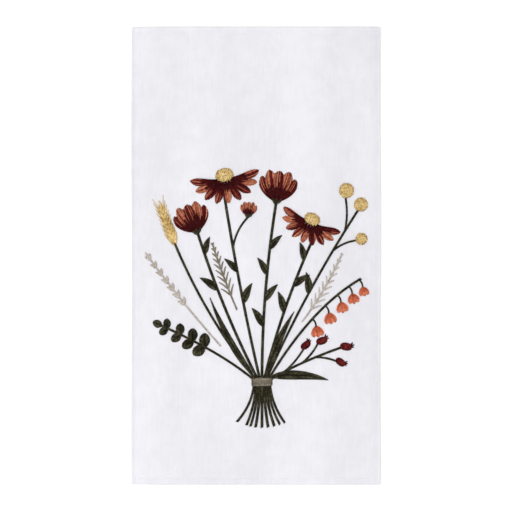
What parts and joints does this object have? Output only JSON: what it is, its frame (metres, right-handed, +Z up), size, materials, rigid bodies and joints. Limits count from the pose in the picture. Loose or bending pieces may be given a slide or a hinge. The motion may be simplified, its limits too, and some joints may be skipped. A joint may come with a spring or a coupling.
{
  "type": "kitchen towel",
  "caption": "Plain cotton kitchen towel folded lengthwise in three, with an embroidered spray of flowers on its face.",
  "frame": {"origin": "middle of the footprint, on the surface that the folded towel lies on", "axes": "+X across the towel towards the softer fold, +Y along the towel towards its top hem, +Z up out of the embroidered face"},
  "size_m": [0.2488, 0.4572, 0.0061],
  "materials": {
    "cotton_cloth": "plain-woven cotton, matt, pressed",
    "olive_thread": "satin-stitched rayon, soft sheen",
    "burgundy_thread": "satin-stitched rayon, soft sheen",
    "rust_thread": "satin-stitched rayon, soft sheen",
    "gold_thread": "satin-stitched rayon, soft sheen",
    "coral_thread": "satin-stitched rayon, soft sheen",
    "taupe_thread": "satin-stitched rayon, soft sheen",
    "greige_thread": "satin-stitched rayon, soft sheen"
  },
  "bodies": {
    "root": {"towel": "cotton_cloth", "greenery": "olive_thread", "stem_ends": "olive_thread", "tie": "taupe_thread", "coneflower_left": "burgundy_thread", "coneflower_left_cone": "gold_thread", "coneflower_right": "burgundy_thread", "coneflower_right_cone": "gold_thread", "poppy_left": "burgundy_thread", "poppy_top": "burgundy_thread", "poppy_bud": "rust_thread", "globe_1": "gold_thread", "globe_2": "gold_thread", "globe_3": "gold_thread", "wheat_ear": "gold_thread", "bell_1": "coral_thread", "bell_2": "coral_thread", "bell_3": "coral_thread", "bell_4": "coral_thread", "bell_5": "coral_thread", "hip_1": "burgundy_thread", "hip_2": "burgundy_thread", "hip_3": "burgundy_thread", "hip_4": "burgundy_thread", "lavender": "greige_thread", "plume_left": "taupe_thread", "plume_right": "greige_thread"}
  },
  "joints": []
}
